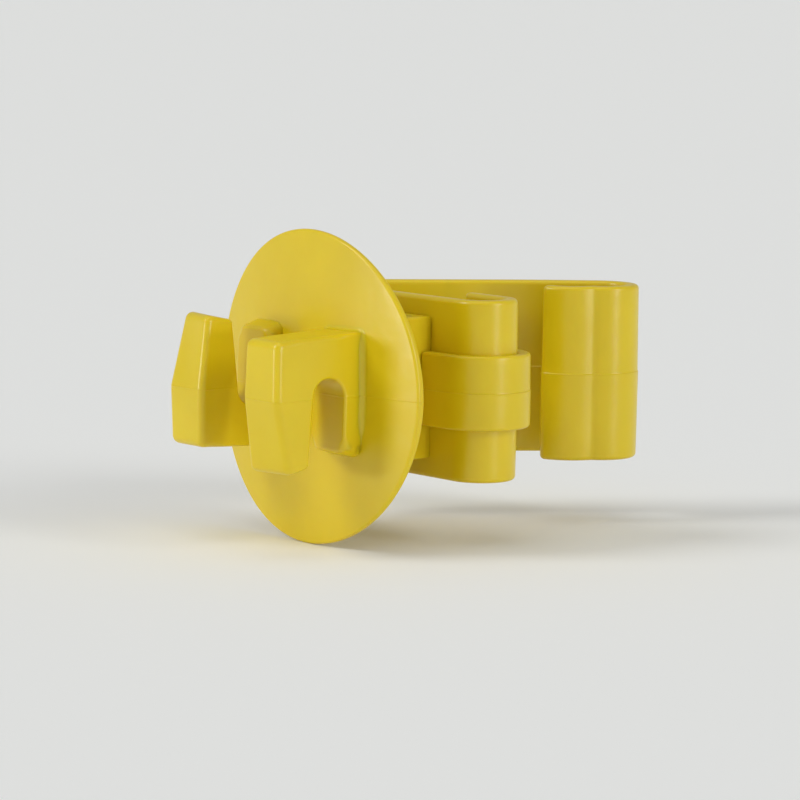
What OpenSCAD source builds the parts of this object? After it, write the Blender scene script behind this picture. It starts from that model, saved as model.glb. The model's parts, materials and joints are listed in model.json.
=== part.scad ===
// Clip-on fence insulator for a T-post: a round skirt disc with two opposed wire hooks on its
// front, a box stand-off behind it, and a band that grips the post.
// The right claw hooks round one edge of the post's flange. The strap curls round the other
// edge and runs back to the post's stem, where a sprung latch loop snaps over its end.
//
// Frame: origin at the centre of the face that bears on the post's flange.
// +X to the right as seen from the wire side, +Y back towards the post's stem, +Z up the post.

/* [Band] */
// Wall thickness of the claw, strap and latch
wall = 3; // [2.6:0.1:3.4]
// Height of the band along the post
band_h = 33; // [28:0.5:38]
// Distance from the centre line to the centre of each curl round the flange's edges
curl_x = 19.15; // [18.5:0.05:20]
// Inner radius of the curls, half the depth of the flange pocket
curl_r = 3.7; // [3.4:0.1:4.2]
// Distance of the claw's free tip from the centre line
claw_tip_x = 9; // [8:0.5:12]

/* [Rib] */
// Height of the stiffening rib round the claw and the curl of the strap
rib_h = 13.5; // [10:0.5:16]
// How far the rib stands out of the band
rib_proud = 2.4; // [1.5:0.1:3]

/* [Skirt disc] */
// Diameter of the disc
disc_d = 57.15; // [52:0.05:64]
// Thickness of the disc
disc_t = 1.5; // [1.2:0.1:2]
// Distance from the post's flange to the middle of the disc's front
disc_front = 22.4; // [20:0.1:26]
// How far the disc's left and right sides are swept back
disc_sweep = 3.5; // [2:0.1:5]
// How far the disc's top and bottom are swept back
disc_dish = 1.1; // [0.5:0.1:2]

/* [Wire hooks] */
// Inner side of each hook, measured from the centre line
hook_in = 6; // [5.5:0.05:7]
// Outer side of each hook, measured from the centre line
hook_out = 16; // [14:0.1:17]
// How far a hook stands out of the disc
hook_reach = 18.2; // [17.8:0.1:20]
// Radius of the wire seat
seat_r = 3.45; // [3:0.05:3.6]
// Distance from the disc's front to the middle of the wire slot
seat_ahead = 6.3; // [6:0.1:6.8]
// Closed end of a hook, measured from the wire's centre
hook_top = 10.5; // [9.5:0.1:12]
// Free end of a hook, measured from the wire's centre
hook_foot = 12.5; // [11.5:0.1:13.5]

/* [Stand-off] */
// Width of the box between the disc and the band
box_w = 26; // [24:0.5:27]
// Height of the box
box_h = 26; // [22:0.5:30]
// Thickness of the box's webs
web = 2.4; // [2:0.1:2.8]

/* [Latch] */
// Centre of the round eye of the latch, to the right of the centre line
eye_x = 8.2; // [8:0.1:8.4]
// Centre of the eye, behind the flange
eye_y = 42.9; // [42.5:0.1:43.3]
// Outer radius of the eye
eye_r = 7.6; // [7.4:0.1:7.8]
// Centre of the curved lip, to the right of the centre line
lip_x = 4.3; // [4.1:0.1:4.5]
// Centre of the curved lip, behind the flange
lip_y = 38.8; // [38.6:0.1:39]
// Outer radius of the lip
lip_r = 9; // [8.9:0.1:9.2]
// Direction of the latch's rear wall, in degrees from +X
latch_dir = 50.3; // [49:0.1:52]

/* [Hidden] */

yellow = [0.87, 0.74, 0.13];
half = wall / 2;
// Running gap between the round end of one wall and the hollow end of the next at a flex line
flex_gap = 0.15;
curl_y = curl_r;
curl_out = curl_r + wall;
curl_mid = curl_r + half;
rib_r = curl_out + rib_proud;
arc_step = 6;

// Flex line at the root of the strap, in the flat part of the band
strap_pivot = [-14.5, -half];
// Rear wall of the latch: its unit direction, and its left-hand normal
latch_u = [cos(latch_dir), sin(latch_dir)];
latch_n = [-latch_u.y, latch_u.x];
eye = [eye_x, eye_y];
eye_mid = eye_r - half;
latch_wall_len = 9.6;
latch_pivot = eye + latch_n * eye_mid - latch_u * latch_wall_len;
lip = [lip_x, lip_y];
lip_tip_angle = -72;

// The strap leaves its curl where the tangent to the curl's middle line meets the latch's pivot
curl_centre = [-curl_x, curl_y];
to_latch = latch_pivot - curl_centre;
strap_leave = atan2(to_latch.y, to_latch.x) + acos(curl_mid / norm(to_latch));
strap_dir = strap_leave - 90;
strap_rib_run = 12;

// The disc is a piece of a barrel: bent about an upright axis, and dished a little up and down
disc_r = disc_d / 2;
barrel_r = (disc_r * disc_r + disc_sweep * disc_sweep) / (2 * disc_sweep);
barrel_axis = barrel_r - disc_front;
// The disc thins towards its top and bottom, away from the mould's parting plane
disc_thin = 0.25;

seat_y = -disc_front - seat_ahead;
hook_front = -disc_front - hook_reach;
// Rise of the hook's closed end from front to back, and how far its front is set back there
hook_rise = 0.9;
top_back = 0.7;
hook_corner = 1.8;
// The free end is set back, and the slot opens a little towards its mouth
foot_back = 2.4;
foot_rise = 1.2;
mouth_flare = 1;
// The rear leg ends in a slope that runs out on the disc
rear_foot = 10.1;
root_foot = 11.2;

// Points along an arc, from angle a to angle b, counter-clockwise when b is larger
function arc(c, r, a, b) =
    let (n = max(2, ceil(abs(b - a) / arc_step)))
    [for (i = [0:n]) c + r * [cos(a + (b - a) * i / n), sin(a + (b - a) * i / n)]];

function polar(a) = [cos(a), sin(a)];

// Where two circles cross, on the right-hand side of the line from c1 to c2
function crossing(c1, r1, c2, r2) =
    let (d = norm(c2 - c1), u = (c2 - c1) / d, a = (r1 * r1 - r2 * r2 + d * d) / (2 * d))
    c1 + u * a + [u.y, -u.x] * sqrt(r1 * r1 - a * a);

function angle_of(p, c) = atan2(p.y - c.y, p.x - c.x);

module band(points, h = band_h) {
    linear_extrude(height = h, center = true)
        polygon(points);
}

module upright_pin(p, r) {
    translate([p.x, p.y, 0])
        cylinder(h = band_h, r = r, center = true, $fn = 48);
}

module upright_cut(p, r) {
    translate([p.x, p.y, 0])
        cylinder(h = band_h + 2, r = r, center = true, $fn = 48);
}

// Radius of the disc's front at height z, measured from the barrel's axis
function front_r(z) = barrel_r - disc_dish * pow(z / disc_r, 2);

// Radius of the disc's back at height z
function back_r(z) = front_r(z) - disc_t * (1 - disc_thin * abs(z) / disc_r);

// Everything inside the barrel's front surface, or with back = true inside its back surface
module barrel(back = false) {
    top = disc_r + 1;
    rows = 16;
    heights = [for (i = [0:rows]) -top + 2 * top * i / rows];
    wall_points = [for (z = heights) [back ? back_r(z) : front_r(z), z]];
    translate([0, barrel_axis, 0])
        rotate_extrude($fn = 180)
            polygon(concat([[0, -top]], wall_points, [[0, top]]));
}

// Round plate swept back towards its rim
module skirt_disc() {
    color(yellow)
        intersection() {
            difference() {
                barrel();
                barrel(back = true);
            }
            translate([0, -disc_front, 0])
                rotate([90, 0, 0])
                    cylinder(h = 6 * disc_sweep, r = disc_r, center = true, $fn = 128);
        }
}

// Side view of the right-hand hook, whose slot opens downwards: [Y, Z] points
function hook_outline() = concat(
    [[-disc_front + disc_sweep, -root_foot], [-disc_front + disc_sweep, hook_top + hook_rise]],
    arc([hook_front + top_back + hook_corner, hook_top - hook_corner], hook_corner, 90, 180),
    [[hook_front, 0], [hook_front + foot_back, -hook_foot],
     [seat_y - seat_r - mouth_flare, -hook_foot + foot_rise],
     [seat_y - seat_r - mouth_flare, -hook_foot - 1],
     [seat_y + seat_r, -hook_foot - 1],
     [seat_y + seat_r, -rear_foot], [-disc_front, -root_foot]]);

function slot_outline() = [
    [seat_y - seat_r, 0], [seat_y + seat_r, 0],
    [seat_y + seat_r, -hook_foot - 2], [seat_y - seat_r - mouth_flare, -hook_foot - 2]];

// Turns a [Y, Z] outline into a block that runs from x0 to x1
module along_x(points, x0, x1) {
    translate([x0, 0, 0])
        rotate([90, 0, 90])
            linear_extrude(height = x1 - x0)
                polygon(points);
}

module hook() {
    difference() {
        along_x(hook_outline(), hook_in, hook_out);
        along_x(slot_outline(), hook_in - 1, hook_out + 1);
        translate([hook_in - 1, seat_y, 0])
            rotate([0, 90, 0])
                cylinder(h = hook_out - hook_in + 2, r = seat_r, $fn = 64);
        barrel();
    }
}

module wire_hook_right() {
    color(yellow)
        hook();
}

// The same hook turned half a turn about the disc's axis, so its slot opens upwards
module wire_hook_left() {
    color(yellow)
        rotate([0, 180, 0])
            hook();
}

// Box between the disc and the band, with three pockets cored out from above and from below
module standoff_box() {
    depth = disc_front - disc_t - wall;
    cells = 3;
    cell_w = (box_w - (cells + 1) * web) / cells;
    color(yellow)
        difference() {
            intersection() {
                translate([-box_w / 2, -disc_front, -box_h / 2])
                    cube([box_w, disc_front - wall, box_h]);
                barrel(back = true);
            }
            for (i = [0:cells - 1], side = [0, 1])
                translate([-box_w / 2 + web + i * (cell_w + web), -wall - depth + web,
                           side == 0 ? web / 2 : -box_h / 2 - 1])
                    cube([cell_w, depth - 2 * web, box_h / 2 - web / 2 + 1]);
        }
}

// Flat plate that bears on the flange, hollowed at the strap's flex line
module post_saddle() {
    color(yellow)
        difference() {
            translate([strap_pivot.x, -wall, -band_h / 2])
                cube([box_w / 2 - strap_pivot.x, wall, band_h]);
            upright_cut(strap_pivot, half + flex_gap);
        }
}

// Rigid hook round the right-hand edge of the flange
module right_claw() {
    c = [curl_x, curl_y];
    tip = [claw_tip_x + half, curl_y + curl_mid];
    color(yellow)
        band(concat(
            [[box_w / 2, -wall]],
            arc(c, curl_out, -90, 90),
            arc(tip, half, 90, 270),
            arc(c, curl_r, 90, -90),
            [[box_w / 2, 0]]));
}

// Stiffening rib round the outside of the claw
module claw_rib() {
    c = [curl_x, curl_y];
    color(yellow)
        band(concat(
            [[box_w / 2, -wall - rib_proud]],
            arc(c, rib_r, -90, 90),
            arc([curl_x - 4, curl_y + curl_out], rib_proud, 90, 180),
            arc(c, curl_out, 90, -90),
            [[box_w / 2, -wall]]), rib_h);
}

// Curl round the left-hand edge of the flange, then a straight strap to the stem's rear corner
module strap_arm() {
    side = polar(strap_leave) * half;
    color(yellow)
        difference() {
            union() {
                band(concat(
                    [[strap_pivot.x, -wall]],
                    arc(curl_centre, curl_out, 270, strap_leave),
                    [latch_pivot + side, latch_pivot - side],
                    arc(curl_centre, curl_r, strap_leave, 270),
                    [[strap_pivot.x, 0]]));
                upright_pin(strap_pivot, half);
            }
            upright_cut(latch_pivot, half + flex_gap);
        }
}

// Stiffening rib round the outside of the strap's curl, fading into the straight run
module strap_rib() {
    root_x = strap_pivot.x - half - 1;
    side = polar(strap_leave);
    run = polar(strap_dir) * strap_rib_run;
    color(yellow)
        band(concat(
            [[root_x, -wall - rib_proud]],
            arc(curl_centre, rib_r, 270, strap_leave),
            [curl_centre + side * rib_r + run * 0.8, curl_centre + side * curl_out + run],
            arc(curl_centre, curl_out, strap_leave, 270),
            [[root_x, -wall]]), rib_h);
}

lip_in = lip_r - wall;
eye_in = eye_r - wall;
crease = crossing(lip, lip_r, eye, eye_r);
inner_crease = crossing(lip, lip_in, eye, eye_in);

// Rear wall of the latch and its round eye, up to the outside crease
module latch_eye() {
    rear = latch_dir + 90;
    color(yellow)
        union() {
            band(concat(
                [latch_pivot + latch_n * half],
                arc(eye, eye_r, rear, angle_of(crease, eye)),
                arc(eye, eye_in, angle_of(inner_crease, eye), rear),
                [latch_pivot - latch_n * half]));
            upright_pin(latch_pivot, half);
        }
}

// Curved lip that springs against the side of the stem
module latch_lip() {
    tip = lip + polar(lip_tip_angle) * (lip_r - half);
    color(yellow)
        band(concat(
            arc(lip, lip_r, angle_of(crease, lip), lip_tip_angle),
            arc(tip, half, lip_tip_angle, lip_tip_angle - 180),
            arc(lip, lip_in, lip_tip_angle, angle_of(inner_crease, lip))));
}

skirt_disc();
wire_hook_right();
wire_hook_left();
standoff_box();
post_saddle();
right_claw();
claw_rib();
strap_arm();
strap_rib();
latch_eye();
latch_lip();
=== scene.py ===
"""Looks for the clip-on fence insulator: one yellow polyethylene moulding in soft studio light.

Every mesh is built in millimetres in the part's own frame (+X right, +Y back, +Z up the post,
origin at the centre of the face on the post's flange) and scaled to metres as it is made.
"""
import json
import math

import bmesh
import bpy
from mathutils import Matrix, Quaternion, Vector


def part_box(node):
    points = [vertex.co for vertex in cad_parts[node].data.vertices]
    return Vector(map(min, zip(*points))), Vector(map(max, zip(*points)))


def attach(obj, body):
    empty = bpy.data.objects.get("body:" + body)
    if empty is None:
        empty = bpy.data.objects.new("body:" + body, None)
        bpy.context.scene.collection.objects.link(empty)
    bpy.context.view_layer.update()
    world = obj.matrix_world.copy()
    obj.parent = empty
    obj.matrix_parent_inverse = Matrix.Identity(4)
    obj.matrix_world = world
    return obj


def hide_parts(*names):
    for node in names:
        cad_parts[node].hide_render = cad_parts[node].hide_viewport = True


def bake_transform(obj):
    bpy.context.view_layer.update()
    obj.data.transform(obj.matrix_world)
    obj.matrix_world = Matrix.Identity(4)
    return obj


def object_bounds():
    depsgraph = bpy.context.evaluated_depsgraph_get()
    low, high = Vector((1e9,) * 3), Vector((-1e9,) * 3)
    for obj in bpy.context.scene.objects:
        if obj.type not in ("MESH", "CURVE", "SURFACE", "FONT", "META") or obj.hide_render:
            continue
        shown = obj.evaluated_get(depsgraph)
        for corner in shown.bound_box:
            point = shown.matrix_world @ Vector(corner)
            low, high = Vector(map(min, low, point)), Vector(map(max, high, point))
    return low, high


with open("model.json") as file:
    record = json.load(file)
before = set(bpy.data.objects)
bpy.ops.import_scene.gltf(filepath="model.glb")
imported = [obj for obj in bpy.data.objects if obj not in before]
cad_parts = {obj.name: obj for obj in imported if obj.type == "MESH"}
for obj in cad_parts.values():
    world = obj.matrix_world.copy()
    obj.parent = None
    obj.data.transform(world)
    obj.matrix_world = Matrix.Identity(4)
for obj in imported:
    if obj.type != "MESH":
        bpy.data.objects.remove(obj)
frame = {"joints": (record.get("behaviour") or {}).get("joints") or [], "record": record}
cad_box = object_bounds()

MM = 0.001


# ---------------------------------------------------------------- sizes from the frame
def box_mm(node):
    """Lowest and highest corner of a CAD node, in millimetres."""
    low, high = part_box(node)
    return Vector(low) / MM, Vector(high) / MM


disc_lo, disc_hi = box_mm("skirt_disc")
hook_lo, hook_hi = box_mm("wire_hook_right")
stand_lo, stand_hi = box_mm("standoff_box")
saddle_lo, saddle_hi = box_mm("post_saddle")
claw_lo, claw_hi = box_mm("right_claw")
_, rib_hi = box_mm("claw_rib")
_, eye_hi = box_mm("latch_eye")
mount = {m["name"]: m for m in frame["record"]["mounts"]}
joint = {j["name"]: j for j in frame["joints"]}


def plan_of(name):
    """A hinge's place in plan, in millimetres."""
    x, y, _ = joint[name]["pos_m"]
    return Vector((x, y)) / MM


# Band
WALL = -saddle_lo.y
HALF = WALL / 2
BAND_Z = saddle_hi.z
CURL_R = (claw_hi.y - WALL) / 2
CURL_OUT = CURL_R + WALL
CURL_X = claw_hi.x - CURL_OUT
CLAW_TIP_X = claw_lo.x
RIB_R = rib_hi.x - CURL_X
RIB_Z = rib_hi.z
RIB_PROUD = RIB_R - CURL_OUT
STRAP_PIVOT = plan_of("strap_flex")
LATCH_PIVOT = plan_of("latch_flex")

# Skirt disc: bent about an upright axis, dished a little, thinner away from the parting plane
DISC_R = disc_hi.z
DISC_FRONT = disc_lo.y
DISC_T = 1.5
DISC_SWEEP = 3.5
DISC_DISH = 1.1
DISC_THIN = 0.25
BARREL_R = (DISC_R ** 2 + DISC_SWEEP ** 2) / (2 * DISC_SWEEP)

# Wire hooks
SEAT_Y = mount["wire_seat_right"]["pos_m"][1] / MM
SEAT_R = mount["wire_seat_right"]["dims"]["r_mm"]
HOOK_TOP = 10.5
HOOK_FOOT = -hook_lo.z

# Latch
EYE_R = 7.6
EYE = Vector((eye_hi.x - EYE_R, eye_hi.y - EYE_R))
LIP_R = 9.0
LIP = EYE + Vector((-3.9, -4.1))
LIP_TIP_ANGLE = -72.0
LATCH_DIR = 50.3

# The upper half of the mould is a hair smaller, which leaves a step on the parting plane
MOULD_STEP = 0.1
# How far a wall leans in for each millimetre away from the parting plane
DRAFT = 0.008


# ---------------------------------------------------------------- camera
# Angles in degrees, lengths in millimetres
PHOTO_AZIMUTH = 50.26
PHOTO_ELEVATION = 6.98
PHOTO_ROLL = 0.85
CAMERA_DISTANCE = 650.0
LENS = 158.25
SENSOR_WIDTH = 36
# The view is centred just behind the plate's face, then moved left and down to frame the part
LOOK_AT = Vector((0, 0.81, 0))
MOVED_LEFT = 0.1
MOVED_DOWN = 3.85
# Nearest and furthest distance seen, in metres
CLIP = (0.01, 20)


def direction(degrees):
    """Unit vector in plan at an angle from +X towards +Y."""
    a = math.radians(degrees)
    return Vector((math.cos(a), math.sin(a)))


def seen_from(azimuth, elevation):
    """Unit vector towards a viewer or a light; azimuth 0 is in front, 90 on the right."""
    a, e = math.radians(azimuth), math.radians(elevation)
    return Vector((math.sin(a) * math.cos(e), -math.cos(a) * math.cos(e), math.sin(e)))


def make_camera():
    """Long lens at the photograph's angle, with its slight roll."""
    back = seen_from(PHOTO_AZIMUTH, PHOTO_ELEVATION)
    right = direction(PHOTO_AZIMUTH).to_3d()
    up = back.cross(right)
    target = LOOK_AT - right * MOVED_LEFT - up * MOVED_DOWN
    data = bpy.data.cameras.new("camera")
    data.lens = LENS
    data.sensor_width = SENSOR_WIDTH
    data.clip_start, data.clip_end = CLIP
    cam = bpy.data.objects.new("camera", data)
    bpy.context.scene.collection.objects.link(cam)
    cam.location = (target + back * CAMERA_DISTANCE) * MM
    cam.rotation_mode = "QUATERNION"
    level = (-back).to_track_quat("-Z", "Y")
    cam.rotation_quaternion = level @ Quaternion((0, 0, 1), math.radians(PHOTO_ROLL))
    bpy.context.scene.camera = cam


make_camera()


# ---------------------------------------------------------------- plan outlines
# How near a point lies to a join's line to be on it
ON_JOIN = 0.01
# Least cosine of half a corner's turn that its mitre follows
MITRE_LIMIT = 0.6


def arc(centre, radius, start, end, step=4.0):
    """Points every step degrees along an arc, counter-clockwise when end is larger than start."""
    n = max(2, math.ceil(abs(end - start) / step))
    return [centre + direction(start + (end - start) * i / n) * radius for i in range(n + 1)]


def line(a, b, step=1.5):
    """Points from a to b, both ends included, no further apart than step."""
    n = max(1, math.ceil((b - a).length / step))
    return [a.lerp(b, i / n) for i in range(n + 1)]


def angle_of(p, centre):
    """Angle of p as seen from centre, in degrees."""
    return math.degrees(math.atan2(p.y - centre.y, p.x - centre.x))


def crossing(c1, r1, c2, r2):
    """Where two circles cross, on the right-hand side of the line from c1 to c2."""
    d = (c2 - c1).length
    u = (c2 - c1) / d
    a = (r1 * r1 - r2 * r2 + d * d) / (2 * d)
    return c1 + u * a + Vector((u.y, -u.x)) * math.sqrt(r1 * r1 - a * a)


def smooth(value, start, end):
    """0 before start, 1 after end, and an S-curve between them."""
    t = min(1.0, max(0.0, (value - start) / (end - start)))
    return t * t * (3 - 2 * t)


def rounded(corners, step=12.0):
    """A closed outline from (x, y, radius) corners, each rounded by an arc in step degrees."""
    out = []
    n = len(corners)
    for i in range(n):
        p = Vector(corners[i][:2])
        r = corners[i][2]
        a = (Vector(corners[i - 1][:2]) - p).normalized()
        b = (Vector(corners[(i + 1) % n][:2]) - p).normalized()
        if r <= 0:
            out.append(p)
            continue
        opening = a.angle(b)
        back = r / math.tan(opening / 2)
        centre = p + (a + b).normalized() * (r / math.sin(opening / 2))
        start = p + a * back - centre
        turn = start.angle_signed(p + b * back - centre)
        count = max(2, math.ceil(abs(math.degrees(turn)) / step))
        base = math.atan2(start.y, start.x)
        for k in range(count + 1):
            t = base - turn * k / count
            out.append(centre + Vector((math.cos(t), math.sin(t))) * r)
    return out


def merged(points, gap=0.02):
    """The points of a closed outline without near repeats."""
    out = []
    for p in points:
        if not out or (p - out[-1]).length > gap:
            out.append(p)
    while (out[0] - out[-1]).length <= gap:
        out.pop()
    return out


def subdivided(points, longest):
    """The closed outline with no side longer than longest."""
    out = []
    for i, p in enumerate(points):
        q = points[(i + 1) % len(points)]
        out += line(p, q, longest)[:-1]
    return out


def counter_clockwise(points):
    """The closed outline in counter-clockwise order."""
    area = sum(points[i - 1].x * p.y - p.x * points[i - 1].y for i, p in enumerate(points))
    return points if area > 0 else points[::-1]


def on_join(a, b, joins):
    """Whether the side from a to b lies on a (point, normal) line where two lengths meet."""
    return any(max(abs((a - p).dot(n)), abs((b - p).dot(n))) < ON_JOIN for p, n in joins)


def inward(points, joins=()):
    """Mitred inward normal at each point; sides on a join stay where they are."""
    out = []
    n = len(points)
    for i in range(n):
        before, here, after = points[i - 1], points[i], points[(i + 1) % n]
        a = (here - before).normalized()
        b = (after - here).normalized()
        join_a, join_b = on_join(before, here, joins), on_join(here, after, joins)
        if join_a and join_b:
            out.append(Vector((0, 0)))
            continue
        if join_a or join_b:
            t = b if join_a else a
            out.append(Vector((-t.y, t.x)))
            continue
        t = (a + b).normalized()
        stretch = 1 / max(MITRE_LIMIT, math.sqrt(max(0.0, (1 + a.dot(b)) / 2)))
        out.append(Vector((-t.y, t.x)) * stretch)
    return out


def quarter_turn(steps):
    """Angles from 0 to a right angle, in radians."""
    return [math.pi / 2 * k / steps for k in range(steps + 1)]


# ---------------------------------------------------------------- mesh building
# Points closer than this are one, in metres
WELD = 1e-6
# Edges that turn more than this are shaded sharp, in degrees
SHARP = 35.0
# Weight of large faces against small ones in the shading normals; 50 is neutral
NORMAL_WEIGHT = 80
# Height of the rows of faces on an upright wall, and steps over the rounding at its ends
ROW_HEIGHT = 1.5
EDGE_STEPS = 5
# Half the height of the parting step, as a share of the way from the middle to the rounding
SPLIT_SHARE = 0.004


def make_object(name, verts, faces, sharp=SHARP):
    """A mesh object from millimetre vertices, smooth but for edges over sharp degrees."""
    mesh = bpy.data.meshes.new(name)
    mesh.from_pydata([tuple(c * MM for c in v) for v in verts], [], faces)
    obj = bpy.data.objects.new(name, mesh)
    bpy.context.scene.collection.objects.link(obj)
    finish_mesh(obj, sharp)
    return obj


def finish_mesh(obj, sharp=SHARP):
    """Turns the faces outwards, shades them smooth and keeps the sharp edges sharp."""
    bm = bmesh.new()
    bm.from_mesh(obj.data)
    bmesh.ops.remove_doubles(bm, verts=bm.verts, dist=WELD)
    wide = [f for f in bm.faces if len(f.verts) > 4]
    bmesh.ops.triangulate(bm, faces=wide, quad_method="BEAUTY", ngon_method="BEAUTY")
    bmesh.ops.recalc_face_normals(bm, faces=bm.faces)
    limit = math.radians(sharp)
    for f in bm.faces:
        f.smooth = True
    for e in bm.edges:
        e.smooth = not (len(e.link_faces) == 2 and e.calc_face_angle(0) > limit)
    bm.to_mesh(obj.data)
    bm.free()
    m = obj.modifiers.new("even_normals", "WEIGHTED_NORMAL")
    m.keep_sharp = True
    m.weight = NORMAL_WEIGHT


def strip(n, levels):
    """Faces between rings of n points."""
    return [(k * n + i, k * n + (i + 1) % n, (k + 1) * n + (i + 1) % n, (k + 1) * n + i)
            for k in range(levels - 1) for i in range(n)]


def caps(n, levels):
    """Polygons that close the first and the last ring of n points."""
    return [tuple(range(n))[::-1], tuple(range((levels - 1) * n, levels * n))]


def loft(name, outline, low, high, place, edge=0.8, step=MOULD_STEP, draft=DRAFT, shape=None,
         joins=()):
    """A prism with rounded ends, split at its middle by the mould's parting plane.

    place(u, v, w) turns plan and height into x, y, z. edge is the radius at both ends, a number
    or a function of the plan point. Walls lean in by draft away from the middle, and the upper
    half is inset by step. Sides on joins are flush with the next length.
    """
    pts = counter_clockwise(merged(outline))
    normals = inward(pts, joins)
    radii = [edge(p) if callable(edge) else edge for p in pts]
    mid = (low + high) / 2
    half = (high - low) / 2
    quarter = quarter_turn(EDGE_STEPS)
    rows = max(2, round(half / ROW_HEIGHT))
    # A level is (side, angle of the rounding or None, share of the way from middle to rounding)
    levels = [(-1, a, 1) for a in quarter]
    levels += [(-1, None, 1 - k / rows) for k in range(1, rows)]
    levels += [(-1, None, SPLIT_SHARE), (1, None, SPLIT_SHARE)]
    levels += [(1, None, k / rows) for k in range(1, rows)]
    levels += [(1, a, 1) for a in reversed(quarter)]
    verts = []
    for side, a, share in levels:
        for p, q, r in zip(pts, normals, radii):
            if a is None:
                height, inset = (half - r) * share, 0
            else:
                height, inset = half - r * (1 - math.cos(a)), r * (1 - math.sin(a))
            inset += draft * height + (step if side > 0 else 0)
            moved = p + q * inset
            verts.append(Vector(place(moved.x, moved.y, mid + side * height)))
    faces = strip(len(pts), len(levels)) + caps(len(pts), len(levels))
    if shape:
        verts = [shape(v) for v in verts]
    return make_object(name, verts, faces)


def upright(x, y, z):
    """Place for an outline in plan."""
    return (x, y, z)


def cut(obj, tool):
    """Takes tool's solid out of obj and deletes tool."""
    obj.modifiers.clear()
    tool.modifiers.clear()
    m = obj.modifiers.new("cut", "BOOLEAN")
    m.operation = "DIFFERENCE"
    m.solver = "EXACT"
    m.object = tool
    bpy.context.view_layer.update()
    result = obj.evaluated_get(bpy.context.evaluated_depsgraph_get())
    mesh = bpy.data.meshes.new_from_object(result)
    obj.modifiers.clear()
    old = obj.data
    obj.data = mesh
    bpy.data.meshes.remove(old)
    bpy.data.objects.remove(tool)


# ---------------------------------------------------------------- skirt disc
def disc_front(x, z):
    """Y of the disc's front face above a point of its plane."""
    bend = BARREL_R - math.sqrt(BARREL_R ** 2 - x * x)
    return DISC_FRONT + bend + DISC_DISH * (z / DISC_R) ** 2


def disc_depth(z):
    """Thickness of the disc at height z."""
    return DISC_T * (1 - DISC_THIN * abs(z) / DISC_R)


def make_disc():
    """Rings of points over the front, round the rim and back over the rear face."""
    spokes = 160
    face_steps = 22
    rim_steps = 4
    rim = 0.45
    rim_rings = [(DISC_R - rim + rim * math.sin(a), rim * (1 - math.cos(a)))
                 for a in quarter_turn(rim_steps)]
    face_rings = [(DISC_R - rim) * k / face_steps for k in range(1, face_steps)]
    verts = []
    rings = []

    def ring(radius, inset, rear):
        """Adds one ring of the front or the rear face, inset from that face."""
        row = []
        for i in range(spokes):
            a = 2 * math.pi * i / spokes
            x, z = radius * math.cos(a), radius * math.sin(a)
            y = disc_front(x, z)
            y = y + disc_depth(z) - inset if rear else y + inset
            row.append(len(verts))
            verts.append((x, y, z))
        rings.append(row)

    for r in face_rings:
        ring(r, 0, False)
    for r, d in rim_rings:
        ring(r, d, False)
    for r, d in reversed(rim_rings):
        ring(r, d, True)
    for r in reversed(face_rings):
        ring(r, 0, True)
    faces = []
    for a, b in zip(rings, rings[1:]):
        for i in range(spokes):
            j = (i + 1) % spokes
            faces.append((a[i], a[j], b[j], b[i]))
    for row, rear in ((rings[0], False), (rings[-1], True)):
        middle = len(verts)
        verts.append((0, disc_front(0, 0) + (DISC_T if rear else 0), 0))
        faces += [(row[i], row[(i + 1) % spokes], middle) for i in range(spokes)]
    return make_object("moulded_disc", verts, faces)


# ---------------------------------------------------------------- wire hooks
# How much higher the root is than the top, and how far top and foot lie behind the nose
HOOK_RISE = 0.9
TOP_BACK = 0.3
FOOT_BACK = 2.4
# The free end slopes up to the slot's mouth, which widens forwards
FOOT_RISE = 1.2
MOUTH_FLARE = 1.0
# How far the rear leg reaches below height 0, at the slot and at the disc
REAR_FOOT = 10.1
ROOT_FOOT = 11.2
# Radii of the corners in the side view, steps round the seat in degrees, and point spacing
TOP_ROUND = 1.5
NOSE_ROUND = 6.0
FOOT_ROUND = 1.4
MOUTH_ROUND = 0.7
LEG_ROUND = 0.8
SEAT_STEP = 9.0
HOOK_SPACING = 0.8
# Rounding along both sides: in the slot, more towards the leg's end, and in front, less behind
SLOT_EDGE = 0.55
LEG_END_MORE = 1.5
LEG_END_RUN = 3.0
FRONT_EDGE = 1.35
BEHIND_LESS = 0.4
BEHIND_NOSE = (3.0, 6.0)
# The foot's outer side is set back, over a run that starts just behind the slot's front wall
FOOT_TWIST = 1.9
TWIST_RUN = (-1.0, 5.0)
# How far the hook's sides lean in for each millimetre away from height 0
HOOK_DRAFT = 0.03
# Behind the disc's front, the hook's outline runs this deep before it is fitted to the disc,
# and this far into it once it is
ROOT_DEPTH = 2.2
ROOT_SUNK = 0.8
# The rear leg's lower edge slopes to this far behind the disc's front
LEG_PAST_FACE = 0.6
# Fillet round the root: inset from the hook's sides and foot, corner radii and spacing
FILLET_INSET = 0.05
FILLET_FOOT_INSET = 0.3
FILLET_FOOT_ROUND = 2.3
FILLET_TOP_ROUND = 1.0
FILLET_SPACING = 1.0
# Its radius: least at the foot, grown over a stretch above it, and less again at the top
FILLET_LEAST = 0.1
FILLET_GROWTH = 0.97
FILLET_GROWS = (2.0, 6.0)
FILLET_TOP_LESS = 0.35
FILLET_TOP_RUN = 3.0
# Its section: steps, lap on the hook's wall, depth in the disc, depth in the hook, and the share
# of its radius that it rises in there
FILLET_STEPS = 8
FILLET_LAP = 0.02
FILLET_SUNK = 0.25
FILLET_IN_HOOK = 0.5
FILLET_INNER_SHARE = 0.8
FILLET_SHARP = 60.0


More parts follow.
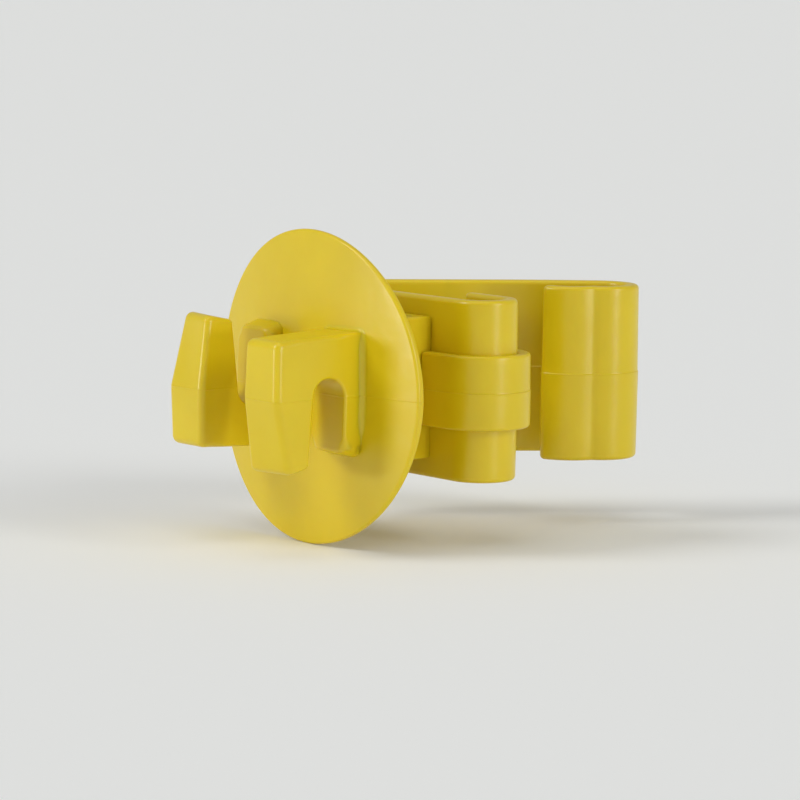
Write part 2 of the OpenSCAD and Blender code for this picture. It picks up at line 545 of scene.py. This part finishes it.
def hook_outline():
    """Side view of the right-hand hook as (y, z) points; its slot opens downwards."""
    front = hook_lo.y
    root = DISC_FRONT + ROOT_DEPTH
    slot_front, slot_rear = SEAT_Y - SEAT_R, SEAT_Y + SEAT_R
    head = rounded([
        (root, -ROOT_FOOT, 0),
        (root, HOOK_TOP + HOOK_RISE, 0),
        (front + TOP_BACK, HOOK_TOP, TOP_ROUND),
        (front, 0, NOSE_ROUND),
        (front + FOOT_BACK, -HOOK_FOOT, FOOT_ROUND),
        (slot_front - MOUTH_FLARE, -HOOK_FOOT + FOOT_RISE, MOUTH_ROUND),
        (slot_front, 0, 0)])
    seat = arc(Vector((SEAT_Y, 0)), SEAT_R, 180, 0, SEAT_STEP)
    tail = rounded([
        (slot_rear, 0, 0),
        (slot_rear, -REAR_FOOT, LEG_ROUND),
        (DISC_FRONT + LEG_PAST_FACE, -ROOT_FOOT, 0)])
    return subdivided(head[:-1] + seat + tail[1:], HOOK_SPACING)


def hook_edge(p):
    """Rounding at the hook's sides for a (y, z) point of its side view."""
    tolerance = 0.1
    above_seat = 0.3
    if p.x > SEAT_Y + SEAT_R - tolerance:
        return SLOT_EDGE + LEG_END_MORE * smooth(-p.y, REAR_FOOT - LEG_END_RUN, REAR_FOOT)
    if p.x > SEAT_Y - SEAT_R - MOUTH_FLARE and p.y < SEAT_R + above_seat:
        return SLOT_EDGE
    return FRONT_EDGE - BEHIND_LESS * smooth(p.x - hook_lo.y, *BEHIND_NOSE)


def hook_place(y, z, x):
    """Place for an outline in side view."""
    return (x, y, z)


def shaped_hook(v):
    """Adds the mould's draft, sets the free end back on its outer side, and ends in the disc."""
    x, y, z = v / MM
    x_mid, half = (hook_lo.x + hook_hi.x) / 2, (hook_hi.x - hook_lo.x) / 2
    across = (x - x_mid) / half
    x -= across * HOOK_DRAFT * abs(z)
    if y > DISC_FRONT:
        depth = disc_front(x, z) + ROOT_SUNK - DISC_FRONT
        return Vector((x, DISC_FRONT + (y - DISC_FRONT) * depth / ROOT_DEPTH, z)) * MM
    ahead = smooth(SEAT_Y - SEAT_R - y, *TWIST_RUN)
    twist = FOOT_TWIST * max(0.0, -z / HOOK_FOOT)
    return Vector((x, y + twist * across / 2 * ahead, z)) * MM


def root_fillet(x0, x1, z0, z1):
    """A concave fillet ring between the hook's walls and the disc, as vertices and faces."""
    outline = rounded([(x0, z0, FILLET_FOOT_ROUND), (x1, z0, FILLET_FOOT_ROUND),
                       (x1, z1, FILLET_TOP_ROUND), (x0, z1, FILLET_TOP_ROUND)])
    outline = counter_clockwise(merged(subdivided(outline, FILLET_SPACING)))
    bends = quarter_turn(FILLET_STEPS)
    verts = []
    for p, q in zip(outline, inward(outline)):
        # The rear leg's foot runs out on the disc by itself, so the fillet dies away there
        f = (FILLET_LEAST + FILLET_GROWTH * smooth(p.y - z0, *FILLET_GROWS)
             - FILLET_TOP_LESS * smooth(p.y, z1 - FILLET_TOP_RUN, z1))
        lean = (p.x - (x0 + x1) / 2) / (x1 - x0) * 2 * HOOK_DRAFT * abs(p.y)
        p = p - Vector((lean, 0))
        for a in bends:
            s = p - q * (f * (1 - math.cos(a)) - FILLET_LAP)
            verts.append((s.x, disc_front(s.x, s.y) - f * (1 - math.sin(a)), s.y))
        for inset, sink in ((f, FILLET_SUNK), (-FILLET_IN_HOOK, FILLET_SUNK),
                            (-FILLET_IN_HOOK, -f * FILLET_INNER_SHARE)):
            s = p - q * inset
            verts.append((s.x, disc_front(s.x, s.y) + sink, s.y))
    n = len(outline)
    m = len(verts) // n
    faces = [(i * m + k, i * m + (k + 1) % m, (i + 1) % n * m + (k + 1) % m, (i + 1) % n * m + k)
             for i in range(n) for k in range(m)]
    return verts, faces


def make_hook(name, turned):
    """The right-hand hook, or with turned the left one, half a turn away about the disc's axis."""
    low, high = hook_lo.x, hook_hi.x
    body = loft(name, hook_outline(), low, high, hook_place, edge=hook_edge, step=0, draft=0)
    verts, faces = root_fillet(low + FILLET_INSET, high - FILLET_INSET,
                               -ROOT_FOOT + FILLET_FOOT_INSET, HOOK_TOP + HOOK_RISE)
    fillet = make_object(name + "_fillet", verts, faces, FILLET_SHARP)
    bm = bmesh.new()
    bm.from_mesh(body.data)
    # The draft changes side at height 0, which leaves a sharp line there
    bmesh.ops.bisect_plane(bm, geom=bm.verts[:] + bm.edges[:] + bm.faces[:], dist=WELD / 10,
                           plane_co=(0, 0, 0), plane_no=(0, 0, 1))
    for e in bm.edges:
        if all(abs(v.co.z) < WELD for v in e.verts):
            e.smooth = False
    for v in bm.verts:
        v.co = shaped_hook(v.co)
    bm.from_mesh(fillet.data)
    if turned:
        for v in bm.verts:
            v.co = Vector((-v.co.x, v.co.y, -v.co.z))
    bm.to_mesh(body.data)
    bm.free()
    bpy.data.objects.remove(fillet)
    return body


# ---------------------------------------------------------------- stand-off box
# Walls between the pockets, and pockets side by side
WEB = 2.4
CELLS = 3
# Laps into the disc and the plate; points this close to the box's front follow the disc
BOX_IN_DISC = 0.6
BOX_IN_PLATE = 0.2
BOX_FRONT = 1.0
BOX_SPACING = 2.5
BOX_EDGE = 0.5
BOX_SHARP = 30.0
# Pockets: corner radius, lean of the walls at the floor, and the mouth's rounding
POCKET_ROUND = 0.9
POCKET_CORNER_STEP = 15.0
POCKET_LEAN = 0.25
POCKET_FLARE = 0.5
POCKET_FLARE_STEPS = 4
# How far the cutter runs past the box
POCKET_PAST = 1.0


def make_standoff():
    """Box with three pockets cored out from above and three from below."""
    x0, x1 = stand_lo.x, stand_hi.x
    y0, y1 = DISC_FRONT + DISC_T - BOX_IN_DISC, -WALL + BOX_IN_PLATE
    z = stand_hi.z
    corners = [Vector((x0, y0)), Vector((x1, y0)), Vector((x1, y1)), Vector((x0, y1))]
    outline = subdivided(corners, BOX_SPACING)

    def follow_disc(v):
        """The front of the box ends inside the curved disc."""
        if v.y < y0 + BOX_FRONT:
            return Vector((v.x, disc_front(v.x, v.z) + disc_depth(v.z) / 2, v.z))
        return v

    box = loft("cored_box", outline, -z, z, upright, edge=BOX_EDGE, shape=follow_disc)
    cell_w = (x1 - x0 - (CELLS + 1) * WEB) / CELLS
    py0, py1 = DISC_FRONT + DISC_T + WEB, -WALL - WEB
    for i in range(CELLS):
        px0 = x0 + WEB + i * (cell_w + WEB)
        px1 = px0 + cell_w
        hole = rounded([(x, y, POCKET_ROUND)
                        for x, y in ((px0, py0), (px1, py0), (px1, py1), (px0, py1))],
                       POCKET_CORNER_STEP)
        for side in (-1, 1):
            cut(box, pocket(hole, side * WEB / 2, side * z))
    finish_mesh(box, BOX_SHARP)
    return box


def pocket(outline, floor, mouth):
    """A cutter for a drafted pocket whose mouth is flared by a small radius."""
    pts = counter_clockwise(merged(outline))
    normals = inward(pts)
    side = 1 if mouth > floor else -1
    rows = [(floor, POCKET_LEAN)]
    rows += [(mouth - side * POCKET_FLARE * (1 - math.sin(a)), -POCKET_FLARE * (1 - math.cos(a)))
             for a in quarter_turn(POCKET_FLARE_STEPS)]
    rows.append((mouth + side * POCKET_PAST, -POCKET_FLARE))
    verts = []
    for h, inset in rows:
        for p, q in zip(pts, normals):
            s = p + q * inset
            verts.append((s.x, s.y, h))
    faces = strip(len(pts), len(rows)) + caps(len(pts), len(rows))
    return make_object("pocket", verts, faces)


# ---------------------------------------------------------------- band, in lengths that meet flush
# Where the plate's right-hand length meets the left-hand one
SADDLE_X0 = -11.0
BAND_EDGE = 0.8
RIB_EDGE = 0.6
# Each rib is sunk this far in its wall, and runs this far past its curl
RIB_SUNK = 0.25
CLAW_RIB_RUN = 4.0
STRAP_RIB_RUN = 12.0
# The strap's rib starts this far past the round of its flex line
STRAP_RIB_ROOT = 1.0
# It is at full height for this share of its run, then falls by (share, height over the wall)
STRAP_RIB_FULL = 0.7
STRAP_RIB_TAPER = ((0.82, RIB_PROUD - 0.5), (0.95, 0.6))
# Steps round the free ends of the band and of the claw's rib, in degrees
TIP_STEP = 15.0
RIB_TIP_STEP = 10.0
# Spacing of the points in the plate's left end, which bends
FLEX_SPACING = 0.8
CURL_L = Vector((-CURL_X, CURL_R))
CURL_MID = CURL_R + HALF
TO_LATCH = LATCH_PIVOT - CURL_L
STRAP_LEAVE = math.degrees(math.atan2(TO_LATCH.y, TO_LATCH.x)
                           + math.acos(CURL_MID / TO_LATCH.length))
STRAP_U = direction(STRAP_LEAVE - 90)
STRAP_N = direction(STRAP_LEAVE)
LATCH_U = direction(LATCH_DIR)
LATCH_N = direction(LATCH_DIR + 90)
STRAP_MID = (CURL_L + STRAP_N * CURL_MID).lerp(LATCH_PIVOT, 0.5)
# The strap bends into the latch from this far before the flex line to this far after it
HINGE_BACK = 8.0
HINGE_AHEAD = 7.0
HINGE_STEPS = 24


def right_band_outline():
    """The plate from its left join, and the claw that hooks round the flange's right edge."""
    c = Vector((CURL_X, CURL_R))
    tip = Vector((CLAW_TIP_X + HALF, c.y + CURL_MID))
    return (line(Vector((SADDLE_X0, -WALL)), Vector((CURL_X, -WALL)))
            + arc(c, CURL_OUT, -90, 90)
            + line(Vector((CURL_X, c.y + CURL_OUT)), Vector((tip.x, c.y + CURL_OUT)))
            + arc(tip, HALF, 90, 270, TIP_STEP)
            + line(Vector((tip.x, c.y + CURL_R)), Vector((CURL_X, c.y + CURL_R)))
            + arc(c, CURL_R, 90, -90)
            + line(Vector((CURL_X, 0)), Vector((SADDLE_X0, 0)))
            + line(Vector((SADDLE_X0, 0)), Vector((SADDLE_X0, -WALL))))


def claw_rib_outline():
    """The rib from the stand-off round the claw's curl, with a round end."""
    c = Vector((CURL_X, CURL_R))
    end = Vector((CURL_X - CLAW_RIB_RUN, c.y + CURL_OUT))
    out_y, in_y = -WALL - RIB_PROUD, -WALL + RIB_SUNK
    inner_r = CURL_OUT - RIB_SUNK
    return (line(Vector((stand_hi.x, out_y)), Vector((CURL_X, out_y)))
            + arc(c, RIB_R, -90, 90)
            + line(Vector((CURL_X, c.y + RIB_R)), end + Vector((0, RIB_PROUD)))
            + arc(end, RIB_PROUD, 90, 180, RIB_TIP_STEP)
            + [end + Vector((-RIB_PROUD, -RIB_SUNK))]
            + line(end - Vector((0, RIB_SUNK)), Vector((CURL_X, c.y + inner_r)))
            + arc(c, inner_r, 90, -90)
            + line(Vector((CURL_X, in_y)), Vector((stand_hi.x, in_y)))
            + line(Vector((stand_hi.x, in_y)), Vector((stand_hi.x, out_y))))


def left_band_outline():
    """The left end of the plate, the curl, and the strap as far as its middle."""
    return (line(Vector((SADDLE_X0, -WALL)), Vector((-CURL_X, -WALL)), FLEX_SPACING)
            + arc(CURL_L, CURL_OUT, 270, STRAP_LEAVE)
            + line(CURL_L + STRAP_N * CURL_OUT, STRAP_MID + STRAP_N * HALF)
            + line(STRAP_MID + STRAP_N * HALF, STRAP_MID - STRAP_N * HALF)
            + line(STRAP_MID - STRAP_N * HALF, CURL_L + STRAP_N * CURL_R)
            + arc(CURL_L, CURL_R, STRAP_LEAVE, 270)
            + line(Vector((-CURL_X, 0)), Vector((SADDLE_X0, 0)), FLEX_SPACING)
            + line(Vector((SADDLE_X0, 0)), Vector((SADDLE_X0, -WALL))))


def strap_rib_outline():
    """The rib from the flex line round the left curl, running out along the strap."""
    root = STRAP_PIVOT.x - HALF - STRAP_RIB_ROOT
    run = STRAP_U * STRAP_RIB_RUN
    out_y, in_y = -WALL - RIB_PROUD, -WALL + RIB_SUNK
    inner_r = CURL_OUT - RIB_SUNK
    top = CURL_L + STRAP_N * RIB_R
    wall = CURL_L + STRAP_N * inner_r
    taper = [CURL_L + STRAP_N * (CURL_OUT + height) + run * share
             for share, height in STRAP_RIB_TAPER]
    return (line(Vector((root, out_y)), Vector((-CURL_X, out_y)))
            + arc(CURL_L, RIB_R, 270, STRAP_LEAVE)
            + line(top, top + run * STRAP_RIB_FULL)
            + taper
            + line(wall + run, wall)
            + arc(CURL_L, inner_r, STRAP_LEAVE, 270)
            + line(Vector((-CURL_X, in_y)), Vector((root, in_y)))
            + line(Vector((root, in_y)), Vector((root, out_y))))


# The latch's two rounds cross in the crease between them, outside and inside
LIP_IN = LIP_R - WALL
EYE_IN = EYE_R - WALL
CREASE = crossing(LIP, LIP_R, EYE, EYE_R)
INNER_CREASE = crossing(LIP, LIP_IN, EYE, EYE_IN)


def turn_at_latch():
    """Outer and inner points where the strap's line bends into the latch's rear wall."""
    a = LATCH_PIVOT - STRAP_U * HINGE_BACK
    b = LATCH_PIVOT + LATCH_U * HINGE_AHEAD
    outer, inner = [], []
    for i in range(HINGE_STEPS + 1):
        t = i / HINGE_STEPS
        p = a * (1 - t) ** 2 + LATCH_PIVOT * (2 * t * (1 - t)) + b * t * t
        u = (STRAP_U * (1 - t) + LATCH_U * t).normalized()
        outer.append(p + Vector((-u.y, u.x)) * HALF)
        inner.append(p - Vector((-u.y, u.x)) * HALF)
    return outer, inner


def latch_band_outline():
    """The strap from its middle, then the latch loop: rear wall, eye, crease and rolled lip."""
    outer, inner = turn_at_latch()
    rear = LATCH_DIR + 90
    tip = LIP + direction(LIP_TIP_ANGLE) * (LIP_R - HALF)
    return (line(STRAP_MID + STRAP_N * HALF, outer[0])
            + outer
            + line(outer[-1], EYE + LATCH_N * EYE_R)
            + arc(EYE, EYE_R, rear, angle_of(CREASE, EYE))
            + arc(LIP, LIP_R, angle_of(CREASE, LIP), LIP_TIP_ANGLE)
            + arc(tip, HALF, LIP_TIP_ANGLE, LIP_TIP_ANGLE - 180, TIP_STEP)
            + arc(LIP, LIP_IN, LIP_TIP_ANGLE, angle_of(INNER_CREASE, LIP))
            + arc(EYE, EYE_IN, angle_of(INNER_CREASE, EYE), rear)
            + line(EYE + LATCH_N * EYE_IN, inner[-1])
            + inner[::-1]
            + line(inner[0], STRAP_MID - STRAP_N * HALF)
            + line(STRAP_MID - STRAP_N * HALF, STRAP_MID + STRAP_N * HALF))


# ---------------------------------------------------------------- pieces
# Direction in plan (degrees) and half length meant for each wall's turn from body to body.
# They are skewed, meant to keep the whole curl and the whole loop on the moving side.
STRAP_TURN = (150, 2.2)
LATCH_TURN = (20, 2.5)


def band(name, outline, half_height=BAND_Z, edge=BAND_EDGE):
    """A length of band or rib, flush where it ends on one of the two joins."""
    plate_end = (Vector((SADDLE_X0, 0)), Vector((1, 0)))
    return loft(name, outline, -half_height, half_height, upright, edge=edge,
                joins=(plate_end, (STRAP_MID, STRAP_U)))


def flex(piece, parent, child, pivot, towards, reach):
    """Bakes the wall's placement into its mesh."""
    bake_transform(piece)


def build():
    """Makes every piece, rides the rigid ones on their bodies, and hides the CAD nodes that each
    stands for.
    """
    rigid = (
        (make_disc(), "body", ["skirt_disc"]),
        (make_hook("right_hook", False), "body", ["wire_hook_right"]),
        (make_hook("left_hook", True), "body", ["wire_hook_left"]),
        (make_standoff(), "body", ["standoff_box"]),
        (band("right_band", right_band_outline()), "body", ["post_saddle", "right_claw"]),
        (band("claw_band_rib", claw_rib_outline(), RIB_Z, RIB_EDGE), "body", ["claw_rib"]),
        (band("strap_band_rib", strap_rib_outline(), RIB_Z, RIB_EDGE), "strap", ["strap_rib"]))
    for obj, body, nodes in rigid:
        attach(obj, body)
        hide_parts(*nodes)
    # The two lengths meet where both follow the strap
    left = band("left_band", left_band_outline())
    flex(left, "body", "strap", STRAP_PIVOT, *STRAP_TURN)
    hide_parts("strap_arm")
    latch = band("latch_band", latch_band_outline())
    flex(latch, "strap", "latch", LATCH_PIVOT, *LATCH_TURN)
    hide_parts("latch_eye", "latch_lip")
    return [obj for obj, _, _ in rigid] + [left, latch]


# ---------------------------------------------------------------- plastic
# Base colour of the darker and the lighter clouds, and where in the noise each starts
DARK_YELLOW = (0.71, 0.53, 0.003, 1)
LIGHT_YELLOW = (0.76, 0.575, 0.005, 1)
CLOUD_RANGE = (0.3, 0.7)
# Each noise is a scale per metre, a detail and a roughness
CLOUDS = (70, 4, 0.55)
PATCHES = (260, 3, 0.6)
GRAIN = (2600, 3, 0.6)
WAVES = (160, 2, 0.5)
# Roughness of the glossiest and the dullest patches
GLOSS_RANGE = (0.26, 0.36)
# Each bump is a strength and a height in metres
GRAIN_BUMP = (0.25, 0.00006)
WAVE_BUMP = (0.5, 0.00025)
FLASH_BUMP = (0.6, 0.00008)
# The flash line is full up to the first distance from height 0 and gone at the second, in metres
FLASH_WIDTH = (0.00003, 0.00022)
# The light that enters the plastic: share, depth of each colour, and scale in metres
SUBSURFACE = 0.3
SUBSURFACE_RADIUS = (1.0, 0.55, 0.06)
SUBSURFACE_SCALE = 0.0012
SPECULAR = 0.56
PLASTIC_IOR = 1.5


def map_range(tree, value, source, target):
    """A Map Range node that takes value from the source range to the target range."""
    n = tree.nodes.new("ShaderNodeMapRange")
    n.inputs["From Min"].default_value, n.inputs["From Max"].default_value = source
    n.inputs["To Min"].default_value, n.inputs["To Max"].default_value = target
    tree.links.new(value, n.inputs["Value"])
    return n


def plastic():
    """Semi-gloss yellow polyethylene: cloudy colour, a fine moulded grain and slight flow waves."""
    mat = bpy.data.materials.new("yellow_polyethylene")
    mat.use_nodes = True
    tree = mat.node_tree
    shader = tree.nodes["Principled BSDF"]
    place = tree.nodes.new("ShaderNodeTexCoord")

    def noise(scale, detail, rough):
        n = tree.nodes.new("ShaderNodeTexNoise")
        n.inputs["Scale"].default_value = scale
        n.inputs["Detail"].default_value = detail
        n.inputs["Roughness"].default_value = rough
        tree.links.new(place.outputs["Object"], n.inputs["Vector"])
        return n.outputs["Fac"]

    def bump(height, strength, distance, under=None):
        n = tree.nodes.new("ShaderNodeBump")
        n.inputs["Strength"].default_value = strength
        n.inputs["Distance"].default_value = distance
        tree.links.new(height, n.inputs["Height"])
        if under:
            tree.links.new(under, n.inputs["Normal"])
        return n.outputs["Normal"]

    ramp = tree.nodes.new("ShaderNodeValToRGB")
    for stop, at, colour in zip(ramp.color_ramp.elements, CLOUD_RANGE, (DARK_YELLOW, LIGHT_YELLOW)):
        stop.position = at
        stop.color = colour
    tree.links.new(noise(*CLOUDS), ramp.inputs["Fac"])
    tree.links.new(ramp.outputs["Color"], shader.inputs["Base Color"])

    gloss = map_range(tree, noise(*PATCHES), (0, 1), GLOSS_RANGE)
    tree.links.new(gloss.outputs["Result"], shader.inputs["Roughness"])

    # Flash line where the mould halves meet, at height 0
    split = tree.nodes.new("ShaderNodeSeparateXYZ")
    tree.links.new(place.outputs["Object"], split.inputs["Vector"])
    away = tree.nodes.new("ShaderNodeMath")
    away.operation = "ABSOLUTE"
    tree.links.new(split.outputs["Z"], away.inputs[0])
    ridge = map_range(tree, away.outputs["Value"], FLASH_WIDTH, (1, 0))
    ridge.interpolation_type = "SMOOTHSTEP"

    grain = bump(noise(*GRAIN), *GRAIN_BUMP)
    waves = bump(noise(*WAVES), *WAVE_BUMP, under=grain)
    flash = bump(ridge.outputs["Result"], *FLASH_BUMP, under=waves)
    tree.links.new(flash, shader.inputs["Normal"])

    shader.inputs["Specular IOR Level"].default_value = SPECULAR
    shader.inputs["IOR"].default_value = PLASTIC_IOR
    shader.inputs["Subsurface Weight"].default_value = SUBSURFACE
    shader.inputs["Subsurface Radius"].default_value = SUBSURFACE_RADIUS
    shader.inputs["Subsurface Scale"].default_value = SUBSURFACE_SCALE
    return mat


# ---------------------------------------------------------------- studio
# Half the floor's width in metres, and its finish
FLOOR_REACH = 30.0
FLOOR_COLOUR = (0.955, 0.965, 0.95, 1)
FLOOR_ROUGHNESS = 0.9
FLOOR_SPECULAR = 0.1
# The room's strength at the horizon and above, and the slopes between which it fades
ROOM_STRENGTH = (0.72, 0.35)
ROOM_FADE = (0.02, 0.12)
# Softboxes and strip lights: name, azimuth, elevation, strength, spread; angles in degrees
SUNS = (
    ("key", 106, 26, 0.75, 22),
    ("wall_strip", 98, 2, 0.4, 7),
    ("front", -24, 38, 0.92, 22),
    ("disc_strip", -20, 2, 0.8, 12),
    ("top", 30, 78, 0.38, 40))


def stage():
    """A pale floor under the disc's lowest point, wide enough for every view."""
    mesh = bpy.data.meshes.new("floor")
    z = cad_box[0].z
    corners = [(x * FLOOR_REACH, y * FLOOR_REACH, z) for x, y in ((-1, -1), (1, -1), (1, 1), (-1, 1))]
    mesh.from_pydata(corners, [], [(0, 1, 2, 3)])
    floor = bpy.data.objects.new("floor", mesh)
    bpy.context.scene.collection.objects.link(floor)
    mat = bpy.data.materials.new("pale_floor")
    mat.use_nodes = True
    shader = mat.node_tree.nodes["Principled BSDF"]
    shader.inputs["Base Color"].default_value = FLOOR_COLOUR
    shader.inputs["Roughness"].default_value = FLOOR_ROUGHNESS
    shader.inputs["Specular IOR Level"].default_value = FLOOR_SPECULAR
    mesh.materials.append(mat)


def soft_sun(name, azimuth, elevation, strength, spread):
    """A distant softbox: light from one direction, spread over an angle in degrees."""
    data = bpy.data.lights.new(name, "SUN")
    data.energy = strength
    data.angle = math.radians(spread)
    lamp = bpy.data.objects.new(name, data)
    bpy.context.scene.collection.objects.link(lamp)
    lamp.rotation_mode = "QUATERNION"
    lamp.rotation_quaternion = (-seen_from(azimuth, elevation)).to_track_quat("-Z", "Y")


def lighting():
    """A pale room that is brightest at the horizon, with suns for softboxes and strip lights."""
    world = bpy.data.worlds.new("world")
    bpy.context.scene.world = world
    world.use_nodes = True
    tree = world.node_tree
    place = tree.nodes.new("ShaderNodeTexCoord")
    split = tree.nodes.new("ShaderNodeSeparateXYZ")
    tree.links.new(place.outputs["Generated"], split.inputs["Vector"])
    fade = map_range(tree, split.outputs["Z"], ROOM_FADE, ROOM_STRENGTH)
    sky = tree.nodes["Background"]
    sky.inputs["Color"].default_value = (1, 1, 1, 1)
    tree.links.new(fade.outputs["Result"], sky.inputs["Strength"])
    for sun in SUNS:
        soft_sun(*sun)
    bpy.context.scene.view_settings.view_transform = "Standard"


pieces = build()
yellow = plastic()
for piece in pieces:
    piece.data.materials.clear()
    piece.data.materials.append(yellow)
stage()
lighting()
